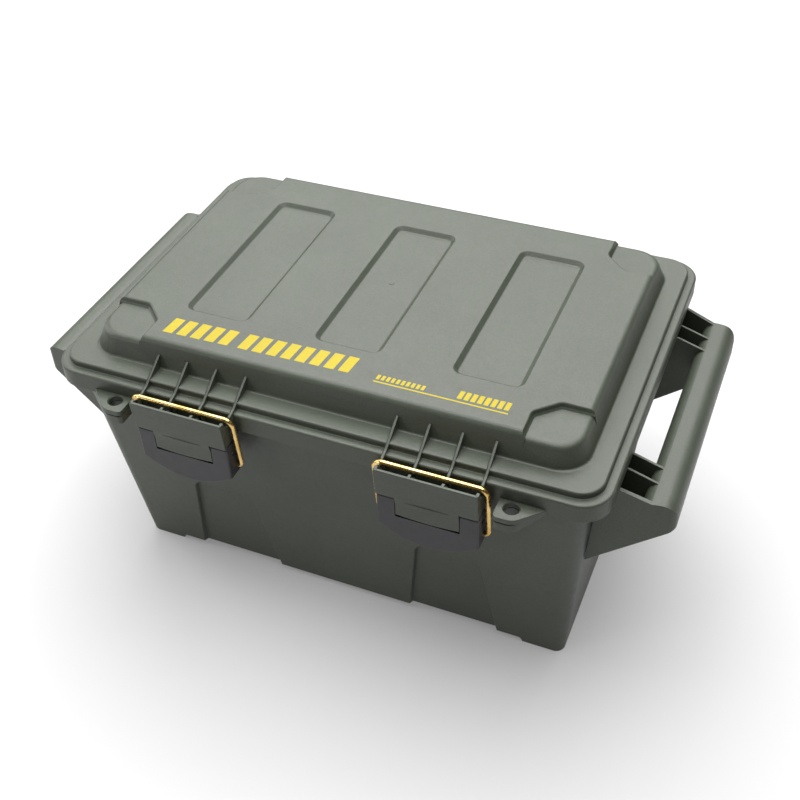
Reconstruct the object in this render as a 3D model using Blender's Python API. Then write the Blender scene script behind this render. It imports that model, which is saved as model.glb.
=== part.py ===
"""A moulded plastic utility crate with a hinged lid, two carry handles and two over-centre wire latches.

Units are metres, +X runs along the crate's length, -Y is the latch side and +Z is up.
The origin is on the surface that the feet stand on, under the middle of the lid.
Sizes in the tables below are written in millimetres and multiplied by MM.
"""
import math

import bmesh
import bpy
from mathutils import Vector

MM = 0.001

# --- driving dimensions, in millimetres ---------------------------------------------------------
LID_HALF_X = 178.0
LID_HALF_Y = 124.0
LID_TOP_Z = 194.0
SHELF_Z = 176.3
RIM_TOP_Z = 172.1
SKIRT_BOTTOM_Z = 159.35
LID_WALL = 2.8
LID_CORNER_R = 19.0
SHELF_INSET = 5.6
PLATFORM_INSET = 18.2
PLATFORM_TOP_INSET = 27.0

TUB_TOP_Z = 166.5
TUB_FLOOR_Z = 8.0
TUB_TOP_HALF_X = 167.0
TUB_TOP_HALF_Y = 115.0
TUB_FOOT_HALF_X = 155.6
TUB_FOOT_HALF_Y = 92.0
TUB_WALL = 3.2
TUB_FOOT_CORNER_R = 8.0
TUB_TOP_CORNER_R = 14.0
FLANGE_HALF_X = 174.4
FLANGE_HALF_Y = 120.4
FLANGE_THICKNESS = 3.0
FLANGE_CORNER_R = 17.6
RECESS_DEPTH = 3.0
RECESS_FOOT_HALF = 31.4
RECESS_TOP_HALF = 20.5
RECESS_TOP_Z = 79.0
FOOT_INNER_X = 127.4
FOOT_HEIGHT = 4.5

PANEL_CENTRES_X = (-88.8, 0.0, 88.8)
PANEL_CENTRE_Y = 0.9
PANEL_HALF_X = 21.5
PANEL_HALF_Y = 66.4
PANEL_DEPTH = 2.8

LATCH_CENTRES_X = (-79.5, 79.5)
LATCH_HALF_WIDTH = 31.2
LEVER_AXIS_Y = -129.0
LEVER_AXIS_Z = 145.0
BAIL_AXIS_Y = -125.5
BAIL_AXIS_Z = 132.5
BAIL_BAR_Y = -129.5
BAIL_BAR_Z = 171.8
WIRE_R = 1.5
LEG_X = 34.0
TONGUE_HALF_WIDTH = 19.4
LEVER_FACE_Y = -135.0
LEVER_CLEAR_R = 10.0
GUARD_TOP_Z = 173.2
GUARD_FOOT_Z = 152.4

HINGE_CENTRES_X = (-79.5, 79.5)
HINGE_AXIS_Y = 134.75
HINGE_AXIS_Z = 156.0
KNUCKLE_R = 4.2
HINGE_PIN_R = 2.0

HANDLE_OUTER_X = 211.5
HANDLE_INNER_X = 190.0
HANDLE_HALF_Y = 87.6
HANDLE_SPLAY = 0.0973
HAND_GAP_HALF_Y = 57.0

PADLOCK_HOLE = (127.3, -129.5)
PADLOCK_HOLE_R = 4.5

GAP = 0.3
CORNER_STEPS = 6


# --- materials ----------------------------------------------------------------------------------
def material(name, colour, roughness, metallic=0.0):
    mat = bpy.data.materials.new(name)
    mat.use_nodes = True
    shader = mat.node_tree.nodes["Principled BSDF"]
    shader.inputs["Base Color"].default_value = (*colour, 1.0)
    shader.inputs["Roughness"].default_value = roughness
    shader.inputs["Metallic"].default_value = metallic
    mat.diffuse_color = (*colour, 1.0)
    return mat


# --- mesh helpers -------------------------------------------------------------------------------
def new_object(name, mesh, mat=None):
    obj = bpy.data.objects.new(name, mesh)
    bpy.context.scene.collection.objects.link(obj)
    if mat:
        mesh.materials.append(mat)
    return obj


def finish_mesh(bm, name):
    bmesh.ops.recalc_face_normals(bm, faces=bm.faces)
    mesh = bpy.data.meshes.new(name)
    bm.to_mesh(mesh)
    bm.free()
    return mesh


def rounded_rectangle(half_x, half_y, radius, z):
    """A ring of points, anticlockwise from above, with the same count at any size."""
    points = []
    for corner, (sx, sy) in enumerate(((1, 1), (-1, 1), (-1, -1), (1, -1))):
        cx = sx * (half_x - radius)
        cy = sy * (half_y - radius)
        for step in range(CORNER_STEPS + 1):
            angle = math.radians(90 * corner + 90 * step / CORNER_STEPS)
            x = cx + radius * math.cos(angle)
            y = cy + radius * math.sin(angle)
            points.append(Vector((x, y, z)) * MM)
    return points


def loft(name, rings, closed_loop=False):
    """A skin through the rings in order, capped at both ends or joined back to its start."""
    bm = bmesh.new()
    loops = [[bm.verts.new(p) for p in ring] for ring in rings]
    pairs = list(zip(loops, loops[1:]))
    if closed_loop:
        pairs.append((loops[-1], loops[0]))
    for low, high in pairs:
        count = len(low)
        for i in range(count):
            j = (i + 1) % count
            bm.faces.new((low[i], low[j], high[j], high[i]))
    if not closed_loop:
        bm.faces.new(loops[0])
        bm.faces.new(loops[-1])
    return finish_mesh(bm, name)


def add_prism(bm, outline, axis, start, end):
    """Extrude a 2-D outline along an axis; the outline is given in the other two axes, in order."""
    others = [i for i in range(3) if i != axis]
    rings = []
    for along in (start, end):
        ring = []
        for a, b in outline:
            point = Vector((0.0, 0.0, 0.0))
            point[axis] = along
            point[others[0]] = a
            point[others[1]] = b
            ring.append(bm.verts.new(point * MM))
        rings.append(ring)
    count = len(outline)
    for i in range(count):
        j = (i + 1) % count
        bm.faces.new((rings[0][i], rings[0][j], rings[1][j], rings[1][i]))
    bm.faces.new(rings[0])
    bm.faces.new(rings[1])


def add_box(bm, low, high):
    outline = [(low[0], low[1]), (high[0], low[1]), (high[0], high[1]), (low[0], high[1])]
    add_prism(bm, outline, 2, low[2], high[2])


def arc(centre, radius, start_deg, end_deg, steps):
    points = []
    for i in range(steps + 1):
        angle = math.radians(start_deg + (end_deg - start_deg) * i / steps)
        points.append((centre[0] + radius * math.cos(angle), centre[1] + radius * math.sin(angle)))
    return points


def circle(centre, radius, steps):
    return arc(centre, radius, 0.0, 360.0 * (steps - 1) / steps, steps - 1)


def cutter(name, build):
    """A construction solid that only shapes others; it isn't a piece of the crate."""
    bm = bmesh.new()
    build(bm)
    obj = new_object(name, finish_mesh(bm, name))
    obj.hide_render = True
    obj.display_type = "WIRE"
    return obj


def boolean(obj, tool, operation):
    mod = obj.modifiers.new(tool.name, "BOOLEAN")
    mod.operation = operation
    mod.solver = "EXACT"
    mod.object = tool
    return mod


def mirrored(outline):
    return [(-a, b) for a, b in reversed(outline)]


# --- tub ----------------------------------------------------------------------------------------
def tub_half_x(z):
    return TUB_FOOT_HALF_X + (TUB_TOP_HALF_X - TUB_FOOT_HALF_X) * z / SKIRT_BOTTOM_Z


def tub_half_y(z):
    return TUB_FOOT_HALF_Y + (TUB_TOP_HALF_Y - TUB_FOOT_HALF_Y) * z / SKIRT_BOTTOM_Z


def add_recesses(bm):
    """Four shallow panels, wider at the foot and round at the top, two on the front and two on the back."""
    outline = [(-RECESS_FOOT_HALF - 0.8, -1.0), (RECESS_FOOT_HALF + 0.8, -1.0)]
    outline += arc((RECESS_TOP_HALF - 7.0, RECESS_TOP_Z - 8.0), 8.0, 8.0, 90.0, 4)
    outline += arc((7.0 - RECESS_TOP_HALF, RECESS_TOP_Z - 8.0), 8.0, 90.0, 172.0, 4)
    for side in (-1, 1):
        for centre in LATCH_CENTRES_X:
            rings = []
            for reach in (0.0, 30.0):
                ring = []
                for x, z in outline:
                    y = side * (tub_half_y(z) - RECESS_DEPTH + reach)
                    ring.append(bm.verts.new(Vector((centre + x, y, z)) * MM))
                rings.append(ring)
            count = len(outline)
            for i in range(count):
                j = (i + 1) % count
                bm.faces.new((rings[0][i], rings[0][j], rings[1][j], rings[1][i]))
            bm.faces.new(rings[0])
            bm.faces.new(rings[1])


def add_foot_pockets(bm):
    """The two end feet are hollow underneath."""
    for sign in (-1, 1):
        low, high = sorted((sign * (FOOT_INNER_X + 4.0), sign * (TUB_FOOT_HALF_X - 4.5)))
        add_box(bm, (low, -85.0, -2.0), (high, 85.0, FOOT_HEIGHT))


def add_middle_trim(bm):
    """Between the end feet the underside stops short of the ground."""
    add_box(bm, (-FOOT_INNER_X, -150.0, -2.0), (FOOT_INNER_X, 150.0, FOOT_HEIGHT))


def padlock_tab_outline(sign, inner_y):
    outline = [(118.5, inner_y), (118.5, -136.5)]
    outline += arc((122.0, -135.5), 3.5, 196.0, 262.0, 3)
    outline += arc((128.0, -130.5), 8.4, 272.0, 318.0, 5)
    outline += [(147.7, -122.0), (147.7, inner_y)]
    return outline if sign > 0 else mirrored(outline)


def knuckle_outline(anchor):
    """An arm that ends in a round hinge barrel, in Y and Z."""
    start, end = anchor["arc"]
    barrel = arc((HINGE_AXIS_Y, HINGE_AXIS_Z), KNUCKLE_R, start, end, 10)
    return anchor["arm"] + barrel


TUB_KNUCKLE = {"arm": [(118.0, 158.6), (112.0, 158.6), (112.0, 146.0), (118.0, 146.0)], "arc": (-75.0, 145.0)}
LID_KNUCKLE = {"arm": [(123.0, 168.0), (123.0, 160.0)], "arc": (215.0, 430.0)}


def add_tub_fittings(bm):
    for centre in HINGE_CENTRES_X:
        for low, high in ((-30.0, -18.0), (-6.0, 6.0), (18.0, 30.0)):
            add_prism(bm, knuckle_outline(TUB_KNUCKLE), 0, centre + low, centre + high)
    for sign in (-1, 1):
        add_prism(bm, padlock_tab_outline(sign, -112.5), 2, 155.6, SKIRT_BOTTOM_Z - GAP)


def add_holes(bm):
    """The padlock holes and the bores for the hinge pins."""
    for sign in (-1, 1):
        centre = (sign * PADLOCK_HOLE[0], PADLOCK_HOLE[1])
        add_prism(bm, circle(centre, PADLOCK_HOLE_R, 20), 2, 150.0, 168.5)
    for centre_x in HINGE_CENTRES_X:
        bore = circle((HINGE_AXIS_Y, HINGE_AXIS_Z), HINGE_PIN_R + 0.1, 16)
        add_prism(bm, bore, 0, centre_x - 33.0, centre_x + 33.0)


def make_tub(mat):
    flange_z = TUB_TOP_Z - FLANGE_THICKNESS
    rings = [
        rounded_rectangle(tub_half_x(0), tub_half_y(0), TUB_FOOT_CORNER_R, 0.0),
        rounded_rectangle(tub_half_x(flange_z), tub_half_y(flange_z), TUB_TOP_CORNER_R, flange_z),
        rounded_rectangle(FLANGE_HALF_X, FLANGE_HALF_Y, FLANGE_CORNER_R, flange_z),
        rounded_rectangle(FLANGE_HALF_X, FLANGE_HALF_Y, FLANGE_CORNER_R, TUB_TOP_Z),
    ]
    inner_drop = TUB_WALL + RECESS_DEPTH
    for z in (TUB_TOP_Z, TUB_FLOOR_Z + 6.0, TUB_FLOOR_Z):
        pull = 6.0 if z == TUB_FLOOR_Z else 0.0
        corner = (TUB_TOP_CORNER_R if z == TUB_TOP_Z else TUB_FOOT_CORNER_R) - TUB_WALL
        half_x = tub_half_x(z) - TUB_WALL - pull
        half_y = tub_half_y(z) - inner_drop - pull
        rings.append(rounded_rectangle(half_x, half_y, corner, z))
    tub = new_object("tub", loft("tub", rings), mat)
    boolean(tub, cutter("cut_foot_pockets", add_foot_pockets), "DIFFERENCE")
    boolean(tub, cutter("cut_middle_trim", add_middle_trim), "DIFFERENCE")
    boolean(tub, cutter("cut_recesses", add_recesses), "DIFFERENCE")
    boolean(tub, cutter("add_tub_fittings", add_tub_fittings), "UNION")
    boolean(tub, cutter("cut_tub_holes", add_holes), "DIFFERENCE")
    return tub


def make_gasket(mat):
    """A soft ring that lies on the tub's flange, under the lid's rim."""
    low_z = TUB_TOP_Z + 0.2
    high_z = RIM_TOP_Z - LID_WALL - 0.2
    sections = ((3.0, low_z), (2.6, high_z - 0.6), (4.2, high_z), (5.4, high_z - 0.6), (5.8, low_z))
    rings = []
    for inset, z in sections:
        half_x = FLANGE_HALF_X - inset
        half_y = FLANGE_HALF_Y - inset
        rings.append(rounded_rectangle(half_x, half_y, FLANGE_CORNER_R - inset, z))
    return new_object("gasket", loft("gasket", rings, closed_loop=True), mat)


# --- lid ----------------------------------------------------------------------------------------
def lid_ring(inset, z):
    radius = max(LID_CORNER_R - inset * 0.35, 6.0)
    return rounded_rectangle(LID_HALF_X - inset, LID_HALF_Y - inset, radius, z)


def add_lid_panels(bm):
    """Three recessed panels with drafted walls, and the lowered stacking pads at the four corners."""
    for centre in PANEL_CENTRES_X:
        rings = []
        for grow, z in ((-2.4, LID_TOP_Z - PANEL_DEPTH), (1.0, LID_TOP_Z + 1.0)):
            ring = []
            for point in rounded_rectangle(PANEL_HALF_X + grow, PANEL_HALF_Y + grow, 3.5, z):
                ring.append(bm.verts.new(point + Vector((centre, PANEL_CENTRE_Y, 0.0)) * MM))
            rings.append(ring)
        count = len(rings[0])
        for i in range(count):
            j = (i + 1) % count
            bm.faces.new((rings[0][i], rings[0][j], rings[1][j], rings[1][i]))
        bm.faces.new(rings[0])
        bm.faces.new(rings[1])
    for sx in (-1, 1):
        for sy in (-1, 1):
            pad = [(123.5, 130.0), (123.5, 81.5), (135.0, 70.0), (180.0, 70.0), (180.0, 130.0)]
            outline = [(sx * a, sy * b) for a, b in pad]
            add_prism(bm, outline, 2, LID_TOP_Z - 3.6, LID_TOP_Z + 2.0)


LATCH_RIB_XS = (-30.0, -10.0, 10.0, 30.0)
LATCH_RIB_HALF = 1.0


def add_lid_fittings(bm):
    rib = [(-103.5, 184.5), (-121.9, 173.3), (-127.6, 172.0), (-127.6, 161.5), (-122.5, 160.2), (-122.5, 170.5),
           (-116.0, 174.5), (-103.5, 174.5)]
    for latch in LATCH_CENTRES_X:
        for rib_x in LATCH_RIB_XS:
            x = latch + rib_x
            add_prism(bm, rib, 0, x - LATCH_RIB_HALF, x + LATCH_RIB_HALF)
    for sign in (-1, 1):
        add_prism(bm, padlock_tab_outline(sign, -121.5), 2, SKIRT_BOTTOM_Z + 0.2, 163.2)
    for centre in HINGE_CENTRES_X:
        for low, high in ((-17.5, -6.5), (6.5, 17.5)):
            add_prism(bm, knuckle_outline(LID_KNUCKLE), 0, centre + low, centre + high)


def add_lid_rail(bm):
    """A stiffening rail along the back of the rim, over the hinges."""
    add_box(bm, (-138.0, 122.5, 161.5), (138.0, 126.3, RIM_TOP_Z))


def make_lid(mat):
    rings = [lid_ring(32.5, 188.0)]
    rings.append(lid_ring(25.0, 186.0))
    rings.append(lid_ring(PLATFORM_INSET + LID_WALL, SHELF_Z - LID_WALL))
    rings.append(lid_ring(SHELF_INSET + LID_WALL, SHELF_Z - LID_WALL))
    rings.append(lid_ring(SHELF_INSET + LID_WALL, RIM_TOP_Z - LID_WALL))
    rings.append(lid_ring(3.0, RIM_TOP_Z - LID_WALL))
    rings.append(lid_ring(3.0, SKIRT_BOTTOM_Z))
    rings.append(lid_ring(0.0, SKIRT_BOTTOM_Z))
    rings.append(lid_ring(0.0, RIM_TOP_Z - 1.2))
    rings.append(lid_ring(1.2, RIM_TOP_Z))
    rings.append(lid_ring(SHELF_INSET, RIM_TOP_Z))
    rings.append(lid_ring(SHELF_INSET, SHELF_Z))
    rings.append(lid_ring(PLATFORM_INSET, SHELF_Z))
    rings.append(lid_ring(22.2, 189.0))
    rings.append(lid_ring(24.0, 192.2))
    rings.append(lid_ring(PLATFORM_TOP_INSET, 193.7))
    rings.append(lid_ring(30.0, LID_TOP_Z))
    lid = new_object("lid", loft("lid", rings), mat)
    boolean(lid, cutter("cut_lid_panels", add_lid_panels), "DIFFERENCE")
    boolean(lid, cutter("add_lid_rail", add_lid_rail), "UNION")
    boolean(lid, cutter("add_lid_fittings", add_lid_fittings), "UNION")
    boolean(lid, cutter("cut_lid_holes", add_holes), "DIFFERENCE")
    return lid


# --- handles ------------------------------------------------------------------------------------
def handle_plates(sign):
    def build(bm):
        wall_low = tub_half_x(96.0) + GAP
        wall_high = tub_half_x(158.0) + GAP
        outer = [(wall_low, 96.0), (210.5, 135.0), (210.5, 147.5), (206.5, 149.6), (178.5, 158.6),
                 (wall_high, 158.6)]
        rib = [(wall_low, 98.0), (200.0, 131.2), (200.0, 151.2), (178.5, 158.2), (wall_high, 158.2)]
        plates = ((85.3, 87.6, outer), (70.2, 72.2, rib), (57.0, 59.2, rib))
        for low, high, outline in plates:
            shape = outline if sign > 0 else mirrored(outline)
            for start, end in ((low, high), (-high, -low)):
                add_prism(bm, shape, 1, start, end)
        for vert in bm.verts:
            if abs(vert.co.y) > 80.0 * MM:
                splay = (HANDLE_OUTER_X * MM - abs(vert.co.x)) * HANDLE_SPLAY
                vert.co.y += math.copysign(splay, vert.co.y)
    return build


def handle_floors(sign):
    def build(bm):
        wall = tub_half_x(97.5) + GAP + 0.1
        floor = [(wall, 97.3), (202.0, 129.5), (202.0, 133.0), (wall, 100.3)]
        shape = floor if sign > 0 else mirrored(floor)
        for start, end in ((57.6, 88.2), (-88.2, -57.6)):
            add_prism(bm, shape, 1, start, end)
    return build


def make_handle(name, sign, mat):
    grip = [(HANDLE_INNER_X + 1.5, 134.0), (HANDLE_OUTER_X - 2.0, 134.0), (HANDLE_OUTER_X, 136.0),
            (HANDLE_OUTER_X, 144.0)]
    grip += arc((HANDLE_OUTER_X - 8.5, 144.3), 8.5, 15.0, 90.0, 5)
    grip += arc((HANDLE_INNER_X + 9.0, 143.8), 9.0, 90.0, 180.0, 6)
    grip += [(HANDLE_INNER_X, 136.0)]
    shape = grip if sign > 0 else mirrored(grip)
    bm = bmesh.new()
    add_prism(bm, shape, 1, -HANDLE_HALF_Y + 0.1, HANDLE_HALF_Y - 0.1)
    handle = new_object(name, finish_mesh(bm, name), mat)
    boolean(handle, cutter(f"add_{name}_floors", handle_floors(sign)), "UNION")
    boolean(handle, cutter(f"add_{name}_plates", handle_plates(sign)), "UNION")
    return handle


# --- latches ------------------------------------------------------------------------------------
def tongue_radius(x):
    return 9.5 - 0.8 * (x / TONGUE_HALF_WIDTH) ** 2


def add_turned(bm, half_width, radius_at):
    """A barrel around the lever axis, with its radius given along X."""
    steps = 8
    around = 32
    rings = []
    for i in range(steps + 1):
        x = -half_width + 2.0 * half_width * i / steps
        ring = [bm.verts.new(Vector((x, y, z)) * MM)
                for y, z in circle((LEVER_AXIS_Y, LEVER_AXIS_Z), radius_at(x), around)]
        rings.append(ring)
    for low, high in zip(rings, rings[1:]):
        for k in range(around):
            j = (k + 1) % around
            bm.faces.new((low[k], low[j], high[j], high[k]))
    bm.faces.new(rings[0])
    bm.faces.new(rings[-1])


def move_x(bm, distance):
    bmesh.ops.translate(bm, verts=bm.verts, vec=Vector((distance, 0.0, 0.0)) * MM)


def make_latch_mount(name, centre, mat):
    """The fixed bracket: a guard plate, the middle hinge barrel and ribs that run back to the tub."""
    def face_cut(bm):
        add_box(bm, (-40.0, -150.0, 120.0), (40.0, LEVER_FACE_Y, 151.0))
        move_x(bm, centre)

    def plate(bm):
        section = [(-138.0, GUARD_TOP_Z), (-136.1, GUARD_FOOT_Z), (LEVER_FACE_Y, 147.0), (LEVER_FACE_Y, 143.0),
                   (-131.0, 143.0), (-132.8, 149.0), (-134.3, GUARD_FOOT_Z), (-136.1, GUARD_TOP_Z)]
        tongue = section[1:7]
        add_prism(bm, tongue, 0, -TONGUE_HALF_WIDTH, TONGUE_HALF_WIDTH)
        move_x(bm, centre)

    def guard(bm):
        section = [(-138.0, GUARD_TOP_Z), (-136.1, GUARD_FOOT_Z), (-134.3, GUARD_FOOT_Z), (-136.1, GUARD_TOP_Z)]
        add_prism(bm, section, 0, -LATCH_HALF_WIDTH, LATCH_HALF_WIDTH)
        move_x(bm, centre)

    def ribs(bm):
        wall = -tub_half_y(158.6) - GAP
        wall_low = -tub_half_y(138.0) - GAP
        end_wall = [(-137.2, 173.0), (-135.2, 154.0), (-129.0, 154.0), (wall, 154.0), (wall, 158.6),
                    (-128.4, 158.6), (-128.4, 166.0), (-133.2, 168.5), (-134.2, 173.0)]
        inner = [(-137.2, 173.0), (-135.4, 152.0), (-133.5, 146.0), (-127.0, 144.0), (-122.5, 141.0),
                 (wall_low, 138.0), (wall, 158.6), (-128.4, 158.6), (-128.4, 166.0), (-133.2, 168.5), (-134.2, 173.0)]
        for x in (-30.2, 30.2):
            add_prism(bm, end_wall, 0, x - 0.95, x + 0.95)
        for x in (-10.0, 10.0):
            add_prism(bm, inner, 0, x - 0.9, x + 0.9)
        move_x(bm, centre)

    def bore(bm):
        add_prism(bm, circle((LEVER_AXIS_Y, LEVER_AXIS_Z), WIRE_R + 0.1, 16), 0, -40.0, 40.0)
        move_x(bm, centre)

    bm = bmesh.new()
    add_turned(bm, TONGUE_HALF_WIDTH, tongue_radius)
    move_x(bm, centre)
    mount = new_object(name, finish_mesh(bm, name), mat)
    boolean(mount, cutter(f"cut_{name}_face", face_cut), "DIFFERENCE")
    boolean(mount, cutter(f"add_{name}_tongue", plate), "UNION")
    boolean(mount, cutter(f"add_{name}_guard", guard), "UNION")
    boolean(mount, cutter(f"add_{name}_ribs", ribs), "UNION")
    boolean(mount, cutter(f"cut_{name}_bore", bore), "DIFFERENCE")
    return mount


def lever_outline(inset):
    """The lever's front outline in X and Z: straight sides and a foot that bows down in the middle."""
    half = LATCH_HALF_WIDTH - inset
    low = []
    for i in range(13):
        x = -half + 2.0 * half * i / 12
        low.append((x, 117.0 + inset + 11.0 * (x / LATCH_HALF_WIDTH) ** 2))
    return low


def make_lever(name, centre, mat):
    """The black pull lever, closed: two hinge shoulders beside the tongue, hollow behind."""
    back_y = -121.5
    shoulder_r = 8.2

    def tongue_room(bm):
        add_turned(bm, TONGUE_HALF_WIDTH + 0.45, lambda x: LEVER_CLEAR_R)
        move_x(bm, centre)

    def tongue_slot(bm):
        half = TONGUE_HALF_WIDTH + 0.45
        add_box(bm, (-half, -145.0, LEVER_AXIS_Z - 2.0), (half, -110.0, 165.0))
        move_x(bm, centre)

    def pocket(bm):
        outline = lever_outline(2.5) + [(28.7, 134.5), (TONGUE_HALF_WIDTH + 0.45, 134.5),
                                        (TONGUE_HALF_WIDTH + 0.45, 147.0), (-TONGUE_HALF_WIDTH - 0.45, 147.0),
                                        (-TONGUE_HALF_WIDTH - 0.45, 134.5), (-28.7, 134.5)]
        add_prism(bm, outline, 1, -132.5, -115.0)
        move_x(bm, centre)

    def shoulder_round(bm):
        """What lies outside the shoulder's radius, above the lever's axis."""
        ring = arc((LEVER_AXIS_Y, LEVER_AXIS_Z), shoulder_r, 0.0, 180.0, 18)
        outline = [(-112.0, LEVER_AXIS_Z - 4.0), (LEVER_AXIS_Y + shoulder_r, LEVER_AXIS_Z - 4.0)]
        outline += ring + [(-150.0, LEVER_AXIS_Z), (-150.0, 170.0), (-112.0, 170.0)]
        add_prism(bm, outline, 0, -40.0, 40.0)
        move_x(bm, centre)

    def bores(bm):
        add_prism(bm, circle((LEVER_AXIS_Y, LEVER_AXIS_Z), WIRE_R + 0.1, 16), 0, -40.0, 40.0)
        add_prism(bm, circle((BAIL_AXIS_Y, BAIL_AXIS_Z), WIRE_R + 0.1, 16), 0, -40.0, 40.0)
        move_x(bm, centre)

    bm = bmesh.new()
    outline = lever_outline(0.0) + [(LATCH_HALF_WIDTH, 153.0), (-LATCH_HALF_WIDTH, 153.0)]
    add_prism(bm, outline, 1, LEVER_FACE_Y, back_y)
    move_x(bm, centre)
    lever = new_object(name, finish_mesh(bm, name), mat)
    boolean(lever, cutter(f"cut_{name}_pocket", pocket), "DIFFERENCE")
    boolean(lever, cutter(f"cut_{name}_slot", tongue_slot), "DIFFERENCE")
    boolean(lever, cutter(f"cut_{name}_room", tongue_room), "DIFFERENCE")
    boolean(lever, cutter(f"cut_{name}_shoulders", shoulder_round), "DIFFERENCE")
    boolean(lever, cutter(f"cut_{name}_bores", bores), "DIFFERENCE")
    return lever


def wire_path(centre):
    """Half of the bail from its inward end to the middle of the bar, then mirrored."""
    foot = Vector((0.0, BAIL_AXIS_Y, BAIL_AXIS_Z))
    top = Vector((0.0, BAIL_BAR_Y, BAIL_BAR_Z))
    up = (top - foot).normalized()
    out = Vector((1.0, 0.0, 0.0))
    points = [foot + out * 26.5, foot + out * (LEG_X - 4.0)]
    for degrees in (20, 40, 60, 80):
        angle = math.radians(degrees)
        points.append(foot + out * (LEG_X - 3.0 + 3.0 * math.sin(angle)) + up * (3.0 - 3.0 * math.cos(angle)))
    for degrees in (0, 18, 36, 54, 72, 90):
        angle = math.radians(degrees)
        points.append(top + out * (LEG_X - 5.0 + 5.0 * math.cos(angle)) - up * (5.0 - 5.0 * math.sin(angle)))
    half = points
    other = [Vector((-p.x, p.y, p.z)) for p in reversed(half)]
    return [(p + Vector((centre, 0.0, 0.0))) * MM for p in half + other]


def make_bail(name, centre, mat):
    """The bent wire loop, as a tube of round section with closed ends."""
    path = wire_path(centre)
    sides = 12
    bm = bmesh.new()
    flat = (path[len(path) // 2] - path[0]).cross(Vector((1.0, 0.0, 0.0))).normalized()
    rings = []
    for i, point in enumerate(path):
        before = path[max(i - 1, 0)]
        after = path[min(i + 1, len(path) - 1)]
        along = (after - before).normalized()
        side = along.cross(flat).normalized()
        ring = []
        for k in range(sides):
            angle = 2.0 * math.pi * k / sides
            offset = flat * math.cos(angle) + side * math.sin(angle)
            ring.append(bm.verts.new(point + offset * WIRE_R * MM))
        rings.append(ring)
    for low, high in zip(rings, rings[1:]):
        for k in range(sides):
            j = (k + 1) % sides
            bm.faces.new((low[k], low[j], high[j], high[k]))
    bm.faces.new(rings[0])
    bm.faces.new(rings[-1])
    return new_object(name, finish_mesh(bm, name), mat)


def make_pin(name, centre, axis_yz, radius, half_length, mat):
    bm = bmesh.new()
    add_prism(bm, circle(axis_yz, radius, 16), 0, centre - half_length, centre + half_length)
    return new_object(name, finish_mesh(bm, name), mat)


# --- moving pieces turn about their own origins -------------------------------------------------
def set_origin(obj, point_mm):
    point = Vector(point_mm) * MM
    for vertex in obj.data.vertices:
        vertex.co -= point
    obj.location = point


def smooth(obj, angle_deg):
    obj.data.shade_smooth()
    obj.data.set_sharp_from_angle(angle=math.radians(angle_deg))


def main():
    for obj in list(bpy.data.objects):
        bpy.data.objects.remove(obj, do_unlink=True)
    olive = material("olive_plastic", (0.105, 0.125, 0.088), 0.55)
    black = material("black_plastic", (0.022, 0.022, 0.026), 0.5)
    zinc = material("zinc_wire", (0.78, 0.55, 0.16), 0.28, 1.0)
    steel = material("steel_pin", (0.55, 0.55, 0.56), 0.35, 1.0)
    rubber = material("rubber_seal", (0.015, 0.015, 0.015), 0.8)

    make_tub(olive)
    make_gasket(rubber)
    lid = make_lid(olive)
    set_origin(lid, (0.0, HINGE_AXIS_Y, HINGE_AXIS_Z))
    for label, sign in (("left", -1), ("right", 1)):
        make_handle(f"handle_{label}", sign, olive)
        side = 0 if sign < 0 else 1
        latch = LATCH_CENTRES_X[side]
        make_latch_mount(f"latch_mount_{label}", latch, olive)
        lever = make_lever(f"lever_{label}", latch, black)
        set_origin(lever, (latch, LEVER_AXIS_Y, LEVER_AXIS_Z))
        bail = make_bail(f"bail_{label}", latch, zinc)
        set_origin(bail, (latch, BAIL_AXIS_Y, BAIL_AXIS_Z))
        smooth(bail, 40.0)
        lever_axis = (LEVER_AXIS_Y, LEVER_AXIS_Z)
        smooth(make_pin(f"lever_pin_{label}", latch, lever_axis, WIRE_R, 30.6, steel), 40.0)
        hinge_axis = (HINGE_AXIS_Y, HINGE_AXIS_Z)
        hinge = HINGE_CENTRES_X[side]
        smooth(make_pin(f"hinge_pin_{label}", hinge, hinge_axis, HINGE_PIN_R, 31.5, steel), 40.0)


main()
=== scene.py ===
"""The utility crate with its final looks: moulded olive plastic, black levers and zinc-yellow wire."""
import math

import bmesh
import bpy
from mathutils import Matrix, Vector


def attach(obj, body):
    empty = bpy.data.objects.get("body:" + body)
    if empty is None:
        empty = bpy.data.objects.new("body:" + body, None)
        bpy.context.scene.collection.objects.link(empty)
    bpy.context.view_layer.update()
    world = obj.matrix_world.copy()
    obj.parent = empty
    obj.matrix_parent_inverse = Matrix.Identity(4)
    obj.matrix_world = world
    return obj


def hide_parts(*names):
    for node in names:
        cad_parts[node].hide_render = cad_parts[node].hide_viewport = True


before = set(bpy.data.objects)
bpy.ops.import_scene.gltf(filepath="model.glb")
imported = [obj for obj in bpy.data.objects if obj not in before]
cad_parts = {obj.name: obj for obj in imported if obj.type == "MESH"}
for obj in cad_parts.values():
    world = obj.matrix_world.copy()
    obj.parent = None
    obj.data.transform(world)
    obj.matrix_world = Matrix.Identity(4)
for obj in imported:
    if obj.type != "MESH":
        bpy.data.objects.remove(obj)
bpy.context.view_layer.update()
MM = 0.001

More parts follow.
